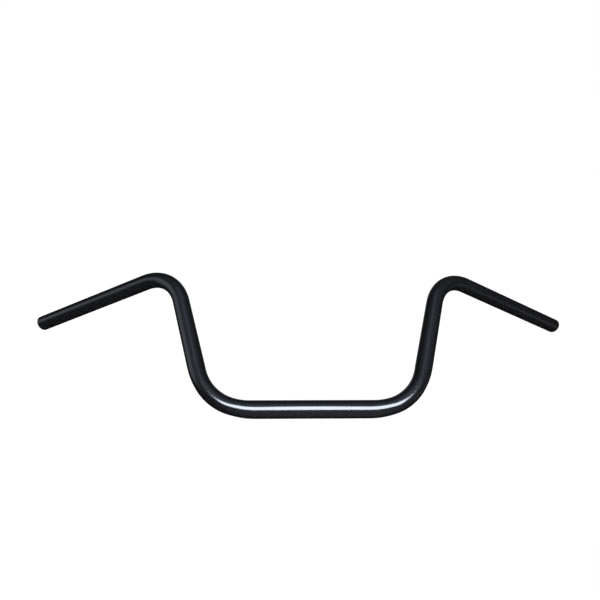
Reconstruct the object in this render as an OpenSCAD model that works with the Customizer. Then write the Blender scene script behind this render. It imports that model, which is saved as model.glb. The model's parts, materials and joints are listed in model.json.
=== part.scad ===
// Ape hanger handlebar for a motorbike: one round steel tube with four bends.
// Lengths are in millimetres and angles in degrees.
// The origin is the middle of the centre straight. +X runs along it, +Z is up and +Y points back to the rider.

/* [Tube] */
// Outside diameter of the tube
tube_d = 22.2; // [19:0.1:32]
// Thickness of the tube's wall
wall = 2; // [1.5:0.1:4]
// Bevel on the inner and outer edges of the two cut ends
end_bevel = 0.6; // [0.2:0.1:0.7]

/* [Centre] */
// Straight length between the two lower bends, where the bar is clamped
centre_straight = 154; // [60:1:300]

/* [Risers] */
// Radius of each lower bend, to the middle of the tube
lower_bend_r = 70; // [40:1:120]
// Angle that each lower bend turns through
lower_bend_angle = 73; // [45:1:100]
// Straight length of each riser, between its two bends
riser_straight = 103; // [20:1:300]
// Angle that the risers lean back from upright, as they follow the fork
riser_lean = 30; // [0:1:45]

/* [Grips] */
// Radius of each upper bend, to the middle of the tube
upper_bend_r = 57; // [40:1:100]
// Straight length from each upper bend to the cut end, where the grip and the levers go
grip_straight = 198; // [120:1:300]
// Angle that the grips sweep back out of the plane of the risers
grip_sweep = 26.5; // [0:0.5:60]
// Angle that the grips drop towards their ends, seen square to the plane of the risers
grip_drop = 7; // [-10:0.5:30]

/* [Hidden] */

// The black finish
black = "#1a1b1e";
// Steps in a full turn of each round face
$fn = 96;

tube_r = tube_d / 2;
bore_r = tube_r - wall;

// Each bend reaches this far into the straight lengths beside it, so that they join as one solid
joint_lap = 0.5;
// The bends' wall is thinner by this on both faces, which keeps the laps inside the straights' wall
joint_step = 0.01;

// Directions of the +X riser and grip, with the risers still upright in the XZ plane
riser_dir = [cos(lower_bend_angle), 0, sin(lower_bend_angle)];
sweep_dir = [cos(grip_sweep), sin(grip_sweep), 0];
grip_dir = sweep_dir * cos(grip_drop) - [0, 0, sin(grip_drop)];

// The upper bend turns the tube from one direction to the other.
upper_bend_angle = acos(riser_dir * grip_dir);

// The tube rolls by this about its own line before the upper bend, so that the grip leaves the risers' plane.
inward_dir = [-sin(lower_bend_angle), 0, cos(lower_bend_angle)];
upper_bend_roll = atan2(-grip_dir.y, grip_dir * inward_dir);

// A straight length of tube that starts at the origin and runs along +X
module straight(length) {
    rotate([0, 90, 0])
        rotate_extrude()
            translate([bore_r, 0])
                square([wall, length]);
}

// A bend that starts at the origin along +X and turns up towards +Z
module bend(radius, angle) {
    lap_angle = joint_lap / radius * 180 / PI;
    translate([0, 0, radius])
        rotate([90, 90, 0])
            rotate_extrude(start = -lap_angle, angle = angle + 2 * lap_angle)
                translate([radius, 0])
                    difference() {
                        circle(tube_r - joint_step);
                        circle(bore_r + joint_step);
                    }
}

// The last straight length, with both edges of its cut end bevelled
module cut_end(length) {
    rotate([0, 90, 0])
        rotate_extrude()
            polygon([
                [bore_r, 0],
                [tube_r, 0],
                [tube_r, length - end_bevel],
                [tube_r - end_bevel, length],
                [bore_r + end_bevel, length],
                [bore_r, length - end_bevel]
            ]);
}

// Places its children at the far end of a straight length
module past_straight(length) {
    translate([length, 0, 0])
        children();
}

// Places its children at the far end of a bend, in line with the tube that leaves it
module past_bend(radius, angle) {
    translate([radius * sin(angle), 0, radius * (1 - cos(angle))])
        rotate([0, -angle, 0])
            children();
}

// Everything on the +X side of the centre straight, bend by bend
module riser_and_grip() {
    past_straight(centre_straight / 2) {
        bend(lower_bend_r, lower_bend_angle);
        past_bend(lower_bend_r, lower_bend_angle) {
            straight(riser_straight);
            past_straight(riser_straight)
                rotate([upper_bend_roll, 0, 0]) {
                    bend(upper_bend_r, upper_bend_angle);
                    past_bend(upper_bend_r, upper_bend_angle)
                        cut_end(grip_straight);
                }
        }
    }
}

module handlebar() {
    color(black)
        rotate([-riser_lean, 0, 0]) {
            translate([-centre_straight / 2, 0, 0])
                straight(centre_straight);
            riser_and_grip();
            mirror([1, 0, 0])
                riser_and_grip();
        }
}

handlebar();
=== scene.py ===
import json
import math
from collections import namedtuple

import bpy
import numpy as np
from mathutils import Matrix, Vector


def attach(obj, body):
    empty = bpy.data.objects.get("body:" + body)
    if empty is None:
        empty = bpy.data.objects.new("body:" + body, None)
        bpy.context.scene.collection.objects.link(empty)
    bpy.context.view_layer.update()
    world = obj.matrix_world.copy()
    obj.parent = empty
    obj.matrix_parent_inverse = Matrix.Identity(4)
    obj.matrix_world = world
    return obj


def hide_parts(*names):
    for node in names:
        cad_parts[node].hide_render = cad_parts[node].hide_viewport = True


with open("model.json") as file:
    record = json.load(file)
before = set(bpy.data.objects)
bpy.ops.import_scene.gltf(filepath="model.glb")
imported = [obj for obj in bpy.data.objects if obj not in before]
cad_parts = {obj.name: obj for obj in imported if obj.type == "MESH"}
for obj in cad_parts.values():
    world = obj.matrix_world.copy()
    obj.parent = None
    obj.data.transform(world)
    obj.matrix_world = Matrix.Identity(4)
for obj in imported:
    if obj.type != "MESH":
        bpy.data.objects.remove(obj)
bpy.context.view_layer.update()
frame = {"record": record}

MM = 0.001

# Sizes of the tube, from the record's mounts. A cut end's rounded edge lies beyond its grip mount.
DIMS = {mount["name"]: mount["dims"] for mount in frame["record"]["mounts"]}
EDGE = 0.6 * MM
TUBE_R = DIMS["clamp"]["r_mm"] * MM
BORE_R = DIMS["clutch_side_bore"]["r_mm"] * MM
CENTRE = DIMS["clamp"]["length_mm"] * MM
GRIP = DIMS["clutch_side_grip"]["length_mm"] * MM + EDGE

# Sizes of the bends and risers, as in the CAD source
LOWER_R = 70 * MM
LOWER_ANGLE = math.radians(73)
RISER = 103 * MM
LEAN = math.radians(30)
UPPER_R = 57 * MM
SWEEP = math.radians(26.5)
DROP = math.radians(7)

# How much the bender presses each bend out of round, as a share of the tube's radius
LOWER_FLAT = 0.064
UPPER_FLAT = 0.024
# The pressing starts this far before the bend and is full after this length
PRESS_LEAD = 9 * MM
PRESS_RAMP = 30 * MM
# The lower bends ease in and out: near each end their middle line lies this far inside a true arc
EASE_IN = 0.5 * MM
EASE_OUT = 0.25 * MM
# The easing starts with the pressing, grows over the first length, fades over the second one
# and is gone this far into the bend
EASE_RAMP = 24 * MM
EASE_FADE = 22 * MM
EASE_END = 37 * MM

# Steps of the mesh round the tube, along the straights, round the bends and over each cut edge
AROUND = 80
STRAIGHT_STEP = 3 * MM
BEND_STEP = math.radians(1.8)
EDGE_STEPS = 4
ANGLES = np.arange(AROUND) * 2 * math.pi / AROUND

# A place on the centre line: its point, the way along the tube, the way to the middle of the
# nearest bend, and how flat the tube is
Station = namedtuple("Station", "point along inward flat")
# What a straight has to know of the end of a bend beside it
BendEnd = namedtuple("BendEnd", "inward flat eased")


def unit(v):
    return v / np.linalg.norm(v)


# A step from 0 to 1 without corners
def smooth(x):
    x = min(max(x, 0.0), 1.0)
    return x * x * (3 - 2 * x)


# How far the pressing has come at a place inside a bend, or short of one where that is negative
def press(place):
    return smooth((place + PRESS_LEAD) / PRESS_RAMP)


# The share of the easing at such a place, largest a little way into the bend
def ease(place):
    return smooth((place + PRESS_LEAD) / EASE_RAMP) * smooth((EASE_END - place) / EASE_FADE)


# A bend that leads from one direction to another
class Bend:
    def __init__(self, before, after, radius, flat, eased_in=0.0, eased_out=0.0):
        self.before = before
        self.radius = radius
        self.flat = flat
        self.eased_in = eased_in
        self.eased_out = eased_out
        self.angle = math.acos(float(np.dot(before, after)))
        self.normal = unit(after - before * np.dot(before, after))

    # The way to the bend's middle once the tube has turned this far
    def inward(self, turned):
        return self.normal * math.cos(turned) - self.before * math.sin(turned)

    def first(self):
        return BendEnd(self.normal, self.flat, self.eased_in)

    def last(self):
        return BendEnd(self.inward(self.angle), self.flat, self.eased_out)

    # The stations of the bend and the point where it ends
    def stations(self, start):
        middle = start + self.normal * self.radius
        steps = round(self.angle / BEND_STEP)
        found = []
        for k in range(steps):
            turned = self.angle * k / steps
            gone = self.radius * turned
            left = self.radius * (self.angle - turned)
            eased = max(self.eased_in * ease(gone), self.eased_out * ease(left))
            point = middle - self.inward(turned) * (self.radius - eased)
            along = self.before * math.cos(turned) + self.normal * math.sin(turned)
            flat = self.flat * press(gone) * press(left)
            found.append(Station(point, along, self.inward(turned), flat))
        return found, middle - self.inward(self.angle) * self.radius


# The stations of a straight, which takes part in the pressing and easing of the bends beside it,
# and the point where it ends
def straight(start, along, length, before, after):
    steps = round(length / STRAIGHT_STEP)
    found = []
    for k in range(steps):
        gone = length * k / steps
        near, place = (before, -gone) if gone < length / 2 else (after, gone - length)
        point = start + along * gone + near.inward * near.eased * ease(place)
        found.append(Station(point, along, near.inward, near.flat * press(place)))
    return found, start + along * length


# The end of a straight that has no bend beside it
def free_end(beside):
    return BendEnd(beside.inward, 0.0, 0.0)


# Half of the bar with upright risers, from the middle of the centre straight to a cut end
def half_line():
    along = np.array([1.0, 0.0, 0.0])
    riser = np.array([math.cos(LOWER_ANGLE), 0.0, math.sin(LOWER_ANGLE)])
    grip = np.array([
        math.cos(DROP) * math.cos(SWEEP),
        math.cos(DROP) * math.sin(SWEEP),
        -math.sin(DROP),
    ])
    lower = Bend(along, riser, LOWER_R, LOWER_FLAT, EASE_IN, EASE_OUT)
    upper = Bend(riser, grip, UPPER_R, UPPER_FLAT)

    centre, at = straight(np.zeros(3), along, CENTRE / 2, free_end(lower.first()), lower.first())
    lower_bend, at = lower.stations(at)
    side, at = straight(at, riser, RISER, lower.last(), upper.first())
    upper_bend, at = upper.stations(at)
    outer, at = straight(at, grip, GRIP, upper.last(), free_end(upper.last()))
    end = Station(at, grip, upper.last().inward, 0.0)
    return centre + lower_bend + side + upper_bend + outer + [end]


# The whole bar, from the -X end to the +X end, with its risers leaning back
def whole_line():
    right = half_line()
    mirror = np.array([-1.0, 1.0, 1.0])
    left = [
        Station(s.point * mirror, -(s.along * mirror), s.inward * mirror, s.flat)
        for s in right[:0:-1]
    ]
    lean = np.array(Matrix.Rotation(-LEAN, 3, "X"))
    return [
        Station(lean @ s.point, lean @ s.along, lean @ s.inward, s.flat)
        for s in left + right
    ]


# Each station with two directions across the tube, which are carried along without a twist
def cross_sections(stations):
    side = unit(np.cross(stations[0].along, np.array([0.0, 0.0, 1.0])))
    found = []
    for station in stations:
        side = unit(side - station.along * np.dot(side, station.along))
        found.append((station, side, np.cross(station.along, side)))
    return found


# One ring of points, pressed flat towards the bend's middle and as much wider across it
def ring(section, radius, shift=0.0):
    station, side, other = section
    spokes = np.outer(np.cos(ANGLES), side) + np.outer(np.sin(ANGLES), other)
    across = np.cross(station.along, station.inward)
    shape = (
        np.outer(spokes @ station.inward, station.inward) * (1 - station.flat)
        + np.outer(spokes @ across, across) * (1 + station.flat)
    )
    return station.point + shape * radius + station.along * shift


# The rings of a cut end, from the outside over both rounded edges into the bore
def cut_end(section, sign):
    quarter = [math.pi / 2 * k / EDGE_STEPS for k in range(EDGE_STEPS + 1)]
    outer = [(TUBE_R - EDGE + EDGE * math.cos(t), -EDGE + EDGE * math.sin(t)) for t in quarter]
    inner = [(BORE_R + EDGE - EDGE * math.sin(t), -EDGE + EDGE * math.cos(t)) for t in quarter]
    return [ring(section, radius, sign * shift) for radius, shift in outer + inner]


# The map runs along the tube one way and round it the other
def unwrap(mesh, rings):
    middles = [points.mean(0) for points in rings]
    lengths = [0.0]
    for here, following in zip(middles, middles[1:] + middles[:1]):
        lengths.append(lengths[-1] + float(np.linalg.norm(following - here)))
    layer = mesh.uv_layers.new(name="along_and_round")
    for poly in mesh.polygons:
        row, k = divmod(poly.index, AROUND)
        corners = [(row, k), (row, k + 1), (row + 1, k + 1), (row + 1, k)]
        for loop, (a, b) in zip(poly.loop_indices, corners):
            layer.data[loop].uv = (lengths[a] / lengths[-1], b / AROUND)


# One closed skin: outside, over the far cut end, back through the bore and over the near cut end
def tube_mesh():
    sections = cross_sections(whole_line())
    body = sections[1:-1]
    far, near = cut_end(sections[-1], 1), cut_end(sections[0], -1)
    rings = [ring(section, TUBE_R) for section in body] + far
    rings += [ring(section, BORE_R) for section in reversed(body)] + near[::-1]

    count = len(rings)
    faces = []
    for row in range(count):
        here, following = row * AROUND, (row + 1) % count * AROUND
        for k in range(AROUND):
            m = (k + 1) % AROUND
            faces.append((here + k, here + m, following + m, following + k))
    mesh = bpy.data.meshes.new("handlebar_skin")
    mesh.from_pydata(np.concatenate(rings).tolist(), [], faces)
    unwrap(mesh, rings)

    # The bore has the second material, from the far end's last ring to the near end's first
    bore = range(len(body) + len(far) - 1, count - len(near))
    slots = [int(row in bore) for row in range(count) for _ in range(AROUND)]
    mesh.polygons.foreach_set("use_smooth", [True] * len(faces))
    mesh.polygons.foreach_set("material_index", slots)
    mesh.validate()
    mesh.update()
    return mesh


# The node tree of a material or of the world, emptied, with short calls that add to it
class Nodes:
    def __init__(self, owner):
        owner.use_nodes = True
        self.tree = owner.node_tree
        self.tree.nodes.clear()

    def add(self, kind, **values):
        node = self.tree.nodes.new(kind)
        for name, value in values.items():
            setattr(node, name, value)
        return node

    def link(self, a, b):
        self.tree.links.new(a, b)

    # The place on the object, in metres
    def place(self):
        return self.add("ShaderNodeTexCoord").outputs["Object"]

    def noise(self, place, scale, detail, roughness=0.5):
        node = self.add("ShaderNodeTexNoise")
        node.inputs["Scale"].default_value = scale
        node.inputs["Detail"].default_value = detail
        node.inputs["Roughness"].default_value = roughness
        self.link(place, node.inputs["Vector"])
        return node.outputs["Fac"]

    # Spreads a value's range over another range
    def spread(self, value, before, after):
        node = self.add("ShaderNodeMapRange")
        node.inputs["From Min"].default_value, node.inputs["From Max"].default_value = before
        node.inputs["To Min"].default_value, node.inputs["To Max"].default_value = after
        self.link(value, node.inputs["Value"])
        return node.outputs["Result"]

    def blend(self, share, first, second):
        node = self.add("ShaderNodeMix", data_type="RGBA")
        node.inputs["A"].default_value = first
        node.inputs["B"].default_value = second
        self.link(share, node.inputs["Factor"])
        return node.outputs["Result"]

    def bump(self, height, strength, distance):
        node = self.add("ShaderNodeBump")
        node.inputs["Strength"].default_value = strength
        node.inputs["Distance"].default_value = distance
        self.link(height, node.inputs["Height"])
        return node.outputs["Normal"]

    # 1 for a ray that sees the background: from the camera, off gloss or through glass
    def sees_background(self):
        rays = self.add("ShaderNodeLightPath").outputs
        found = rays["Is Camera Ray"]
        for name in ("Is Glossy Ray", "Is Transmission Ray"):
            more = self.add("ShaderNodeMath", operation="MAXIMUM")
            self.link(found, more.inputs[0])
            self.link(rays[name], more.inputs[1])
            found = more.outputs["Value"]
        return found

    def show(self, surface, kind="ShaderNodeOutputMaterial"):
        self.link(surface, self.add(kind).inputs["Surface"])


PAINT_DEEP = (0.0062, 0.0065, 0.0072, 1)
PAINT_PALE = (0.0090, 0.0094, 0.0104, 1)
STEEL_DARK = (0.16, 0.155, 0.15, 1)
STEEL_PALE = (0.30, 0.285, 0.265, 1)


# Glossy black paint: a faint orange peel, with gloss and depth that drift a little along the tube
def black_paint():
    material = bpy.data.materials.new("black_paint")
    n = Nodes(material)
    paint = n.add("ShaderNodeBsdfPrincipled")
    place = n.place()

    drift = n.noise(place, scale=14, detail=3)
    n.link(n.blend(drift, PAINT_DEEP, PAINT_PALE), paint.inputs["Base Color"])
    gloss = n.noise(place, scale=60, detail=4, roughness=0.6)
    n.link(n.spread(gloss, (0.3, 0.7), (0.15, 0.19)), paint.inputs["Roughness"])
    peel = n.bump(n.noise(place, scale=260, detail=1), strength=0.1, distance=0.04 * MM)
    n.link(peel, paint.inputs["Normal"])
    n.link(peel, paint.inputs["Coat Normal"])

    paint.inputs["IOR"].default_value = 1.5
    paint.inputs["Coat Weight"].default_value = 1.0
    paint.inputs["Coat Roughness"].default_value = 0.15
    paint.inputs["Coat IOR"].default_value = 1.9
    n.show(paint.outputs["BSDF"])
    return material


# Bare drawn steel inside the bore, dulled by oxide
def bore_steel():
    material = bpy.data.materials.new("bore_steel")
    n = Nodes(material)
    steel = n.add("ShaderNodeBsdfPrincipled")
    place = n.place()

    patches = n.noise(place, scale=110, detail=4, roughness=0.6)
    n.link(n.blend(patches, STEEL_DARK, STEEL_PALE), steel.inputs["Base Color"])
    n.link(n.spread(patches, (0.3, 0.7), (0.5, 0.68)), steel.inputs["Roughness"])
    grain = n.noise(place, scale=900, detail=3, roughness=0.6)
    n.link(n.bump(grain, strength=0.3, distance=0.1 * MM), steel.inputs["Normal"])
    n.show(steel.outputs["BSDF"])
    return material


def add_object(name, mesh, *materials):
    for material in materials:
        mesh.materials.append(material)
    thing = bpy.data.objects.new(name, mesh)
    bpy.context.scene.collection.objects.link(thing)
    return thing


bar = add_object("handlebar_tube", tube_mesh(), black_paint(), bore_steel())
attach(bar, "root")
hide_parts("handlebar")

# Sizes and places of the studio, in metres
WORLD_LIGHT = 0.15
FLOOR_Z = -0.5
FLOOR_REACH = 60.0
FLOOR_COLOUR = (0.8, 0.8, 0.8, 1)
# Where the background is seen, most of the floor is this white, and all of it is further out
FLOOR_WHITE = 1.1
FLOOR_FADE = (1.0, 3.0)
FLOOR_WHITE_SHARES = (0.88, 1.0)
WALL_R = 3.0
WALL_TURNS = 48
WALL_TIERS = 24
WALL_FOOT = FLOOR_Z + 0.02
WALL_COLOUR = (0.0105, 0.0098, 0.0105)
# Azimuth and elevation of each soft glow on the walls, the angles at which it is full and gone,
# and its colour
WALL_LIGHTS = [
    (-90, 4, 3, 20, (0.165, 0.19, 0.215)),
    (-80, 14, 3, 20, (0.13, 0.145, 0.165)),
    (-72, 25, 3, 18, (0.165, 0.19, 0.215)),
    (-58, 37, 3, 17, (0.06, 0.07, 0.08)),
    (-65, 5, 2, 12, (0.085, 0.095, 0.105)),
    (15, 50, 8, 75, (0.045, 0.055, 0.072)),
    (5, 68, 4, 24, (0.07, 0.105, 0.14)),
    (10, -40, 5, 60, (0.076, 0.078, 0.088)),
    (180, 8, 5, 32, (0.16, 0.175, 0.195)),
    (68, -15, 1, 12, (0.07, 0.07, 0.073)),
    (83, -15, 1, 12, (0.07, 0.07, 0.073)),
    (99, -8, 1, 12, (0.045, 0.045, 0.045)),
]
# The glowing panel faces the bar, with its corners as metres right and up from its middle
KEY_AZIMUTH = 5.5
KEY_ELEVATION = 25
KEY_DISTANCE = 1.8
KEY_CORNERS = [
    (-1.02, -0.55), (0.10, -0.49), (1.00, -0.74),
    (1.00, 0.06), (0.02, 0.88), (-1.00, 0.13),
]
KEY_STRENGTH = 7.5
KEY_COLOUR = (0.83, 0.915, 1.0, 1)


# The direction at an azimuth, which is 0 towards the camera's side and 90 towards +X
def toward(azimuth, elevation):
    a, e = math.radians(azimuth), math.radians(elevation)
    return Vector((math.sin(a) * math.cos(e), -math.cos(a) * math.cos(e), math.sin(e)))


# A white backdrop that adds only a little light of its own
def add_backdrop():
    world = bpy.data.worlds.new("studio")
    bpy.context.scene.world = world
    n = Nodes(world)
    backdrop = n.add("ShaderNodeBackground")
    backdrop.inputs["Color"].default_value = (1, 1, 1, 1)
    strength = n.spread(n.sees_background(), (0, 1), (WORLD_LIGHT, 1))
    n.link(strength, backdrop.inputs["Strength"])
    n.show(backdrop.outputs["Background"], "ShaderNodeOutputWorld")


# A pale floor, far enough below that the bar's soft shadow stays faint
def floor_material():
    material = bpy.data.materials.new("pale_floor")
    n = Nodes(material)
    pale = n.add("ShaderNodeBsdfDiffuse")
    pale.inputs["Color"].default_value = FLOOR_COLOUR
    white = n.add("ShaderNodeEmission")
    white.inputs["Strength"].default_value = FLOOR_WHITE
    away = n.add("ShaderNodeVectorMath", operation="LENGTH")
    n.link(n.place(), away.inputs[0])
    share = n.add("ShaderNodeMath", operation="MULTIPLY")
    n.link(n.spread(away.outputs["Value"], FLOOR_FADE, FLOOR_WHITE_SHARES), share.inputs[0])
    n.link(n.sees_background(), share.inputs[1])
    mix = n.add("ShaderNodeMixShader")
    n.link(share.outputs["Value"], mix.inputs["Fac"])
    n.link(pale.outputs["BSDF"], mix.inputs[1])
    n.link(white.outputs["Emission"], mix.inputs[2])
    n.show(mix.outputs["Shader"])
    return material


def add_floor():
    mesh = bpy.data.meshes.new("floor")
    corners = [(-1, -1), (1, -1), (1, 1), (-1, 1)]
    places = [(x * FLOOR_REACH, y * FLOOR_REACH, FLOOR_Z) for x, y in corners]
    mesh.from_pydata(places, [], [(0, 1, 2, 3)])
    add_object("floor", mesh, floor_material())


# Dark walls with a few soft glows, each added to what is there
def walls_material():
    material = bpy.data.materials.new("studio_walls")
    n = Nodes(material)
    way = n.add("ShaderNodeVectorMath", operation="NORMALIZE")
    n.link(n.place(), way.inputs[0])
    total = None
    for azimuth, elevation, full, gone, colour in WALL_LIGHTS:
        dot = n.add("ShaderNodeVectorMath", operation="DOT_PRODUCT")
        n.link(way.outputs["Vector"], dot.inputs[0])
        dot.inputs[1].default_value = toward(azimuth, elevation)
        soft = n.add("ShaderNodeMapRange", interpolation_type="SMOOTHSTEP")
        soft.inputs["From Min"].default_value = math.cos(math.radians(gone))
        soft.inputs["From Max"].default_value = math.cos(math.radians(full))
        n.link(dot.outputs["Value"], soft.inputs["Value"])
        more = n.add("ShaderNodeVectorMath", operation="MULTIPLY_ADD")
        n.link(soft.outputs["Result"], more.inputs[0])
        more.inputs[1].default_value = colour
        if total is None:
            more.inputs[2].default_value = WALL_COLOUR
        else:
            n.link(total.outputs["Vector"], more.inputs[2])
        total = more
    glow = n.add("ShaderNodeEmission")
    n.link(total.outputs["Vector"], glow.inputs["Color"])
    n.show(glow.outputs["Emission"])
    return material


# The walls of the studio, which only gloss sees. They keep the black as deep as in the photo.
def add_walls():
    places = []
    for i in range(WALL_TIERS + 1):
        e = math.pi * (i / WALL_TIERS - 0.5)
        for k in range(WALL_TURNS):
            a = 2 * math.pi * k / WALL_TURNS
            x = WALL_R * math.cos(e) * math.cos(a)
            y = WALL_R * math.cos(e) * math.sin(a)
            places.append((x, y, max(WALL_R * math.sin(e), WALL_FOOT)))
    faces = []
    for i in range(WALL_TIERS):
        lower, upper = i * WALL_TURNS, (i + 1) * WALL_TURNS
        for k in range(WALL_TURNS):
            m = (k + 1) % WALL_TURNS
            faces.append((lower + k, lower + m, upper + m, upper + k))
    mesh = bpy.data.meshes.new("studio_walls")
    mesh.from_pydata(places, [], faces)
    walls = add_object("studio_walls", mesh, walls_material())
    walls.visible_camera = False
    walls.visible_diffuse = False
    walls.visible_transmission = False
    walls.visible_shadow = False


# The panel that lights the bar. Its outline gives the streak on the bar the photo's shape.
def add_key_light():
    away = toward(KEY_AZIMUTH, KEY_ELEVATION)
    across = toward(KEY_AZIMUTH + 90, 0)
    upward = away.cross(across)
    places = [away * KEY_DISTANCE + across * u + upward * v for u, v in KEY_CORNERS]
    mesh = bpy.data.meshes.new("key_light")
    mesh.from_pydata(places, [], [range(len(places))])
    material = bpy.data.materials.new("key_light")
    material.use_nodes = True
    shader = material.node_tree.nodes["Principled BSDF"]
    shader.inputs["Base Color"].default_value = (0, 0, 0, 1)
    shader.inputs["Specular IOR Level"].default_value = 0
    shader.inputs["Emission Color"].default_value = KEY_COLOUR
    shader.inputs["Emission Strength"].default_value = KEY_STRENGTH
    panel = add_object("key_light", mesh, material)
    panel.visible_camera = False
    panel.visible_shadow = False


# The camera's place, directions and field of view, fitted to the photo
CAMERA_PLACE = Vector((-0.04273, -0.55153, 0.15103))
CAMERA_FORWARD = Vector((0.0474, 0.9984, -0.0322)).normalized()
CAMERA_RIGHT = Vector((0.9988, -0.0472, 0.0092))
CAMERA_SENSOR = 36
CAMERA_LENS = 27.439
CAMERA_CLIP = (0.01, 200)


def add_camera():
    data = bpy.data.cameras.new("camera")
    data.sensor_width = CAMERA_SENSOR
    data.lens = CAMERA_LENS
    data.clip_start, data.clip_end = CAMERA_CLIP
    camera = bpy.data.objects.new("camera", data)
    right = (CAMERA_RIGHT - CAMERA_FORWARD * CAMERA_RIGHT.dot(CAMERA_FORWARD)).normalized()
    turned = Matrix((right, right.cross(CAMERA_FORWARD), -CAMERA_FORWARD)).transposed()
    camera.matrix_world = Matrix.Translation(CAMERA_PLACE) @ turned.to_4x4()
    bpy.context.scene.collection.objects.link(camera)
    bpy.context.scene.camera = camera


add_backdrop()
add_floor()
add_walls()
add_key_light()
add_camera()
bpy.context.scene.view_settings.view_transform = "Standard"
